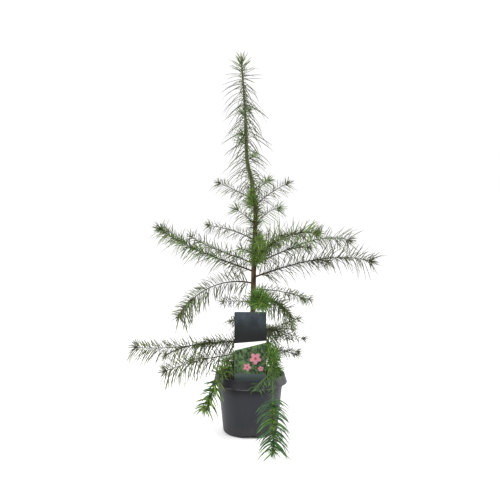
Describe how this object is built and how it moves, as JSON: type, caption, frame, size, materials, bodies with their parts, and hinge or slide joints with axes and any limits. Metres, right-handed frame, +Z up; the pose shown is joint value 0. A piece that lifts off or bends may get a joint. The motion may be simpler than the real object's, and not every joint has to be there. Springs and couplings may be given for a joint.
{
  "type": "potted european larch",
  "caption": "Young larch with one leader and loose tiers of short arching boughs clothed in soft needles, growing in a round nursery pot with a plain label card.",
  "frame": {"origin": "middle of the pot's underside, where it stands on level ground", "axes": "+Z up along the trunk, -Y towards the viewer of the picture, +X to that viewer's right"},
  "size_m": [0.6529, 0.5139, 0.9768],
  "materials": {
    "bark": "rough, finely fissured bark",
    "needles": "soft green needles on slim shoots",
    "pot_plastic": "anthracite moulded plastic, faintly satin",
    "compost": "dark crumbly compost",
    "label_print": "smooth printed plastic card"
  },
  "bodies": {
    "root": {"bough_high_back": "bark", "bough_high_left_thin": "bark", "bough_low_back": "bark", "bough_low_back_left": "bark", "bough_low_front_left": "bark", "bough_low_front_right": "bark", "bough_low_left": "bark", "bough_low_left_long": "bark", "bough_low_right": "bark", "bough_low_right_back": "bark", "bough_low_right_short": "bark", "bough_mid_back": "bark", "bough_mid_left_back": "bark", "bough_mid_left_droop": "bark", "bough_mid_left_long": "bark", "bough_mid_left_thin": "bark", "bough_mid_right_back": "bark", "bough_mid_right_back_long": "bark", "bough_mid_right_droop": "bark", "bough_mid_right_front": "bark", "bough_mid_right_long": "bark", "bough_top_left": "bark", "bough_top_right": "bark", "foliage_front_clump_low": "needles", "foliage_front_clump_mid": "needles", "foliage_front_clump_top": "needles", "foliage_high_back": "needles", "foliage_high_left_short": "needles", "foliage_high_left_thin": "needles", "foliage_high_right_short": "needles", "foliage_leader_low": "needles", "foliage_leader_middle": "needles", "foliage_leader_top": "needles", "foliage_low_back": "needles", "foliage_low_back_left": "needles", "foliage_low_front_left": "needles", "foliage_low_front_right": "needles", "foliage_low_left": "needles", "foliage_low_left_long": "needles", "foliage_low_right": "needles", "foliage_low_right_back": "needles", "foliage_low_right_short": "needles", "foliage_mid_back": "needles", "foliage_mid_left_back": "needles", "foliage_mid_left_droop": "needles", "foliage_mid_left_long": "needles", "foliage_mid_left_thin": "needles", "foliage_mid_right_back": "needles", "foliage_mid_right_back_long": "needles", "foliage_mid_right_droop": "needles", "foliage_mid_right_front": "needles", "foliage_mid_right_long": "needles", "foliage_top_left": "needles", "foliage_top_right": "needles", "foliage_top_right_back": "needles", "label_card": "label_print", "pot": "pot_plastic", "soil": "compost", "trunk": "bark"}
  },
  "joints": []
}
